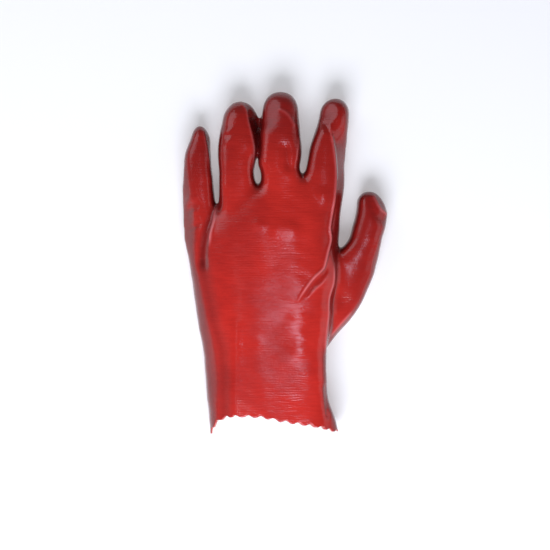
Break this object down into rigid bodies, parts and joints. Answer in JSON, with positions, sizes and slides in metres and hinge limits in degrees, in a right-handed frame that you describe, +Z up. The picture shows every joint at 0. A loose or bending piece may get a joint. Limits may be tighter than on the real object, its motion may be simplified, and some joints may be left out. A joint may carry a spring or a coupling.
{
  "type": "pvc coated work glove",
  "caption": "Left-hand PVC coated work glove, lying palm down and empty, hollow to the fingertips, with a pinked cuff edge.",
  "frame": {"origin": "middle of the glove's outline as it lies, on the surface that it lies on", "axes": "+Y towards the fingertips, +X towards the thumb, +Z up through the back of the hand"},
  "size_m": [0.161, 0.2694, 0.038],
  "materials": {
    "pvc_coating": "glossy red PVC dipped over a cotton knit, which ripples its surface"
  },
  "bodies": {
    "root": {"glove_shell": "pvc_coating"}
  },
  "joints": []
}
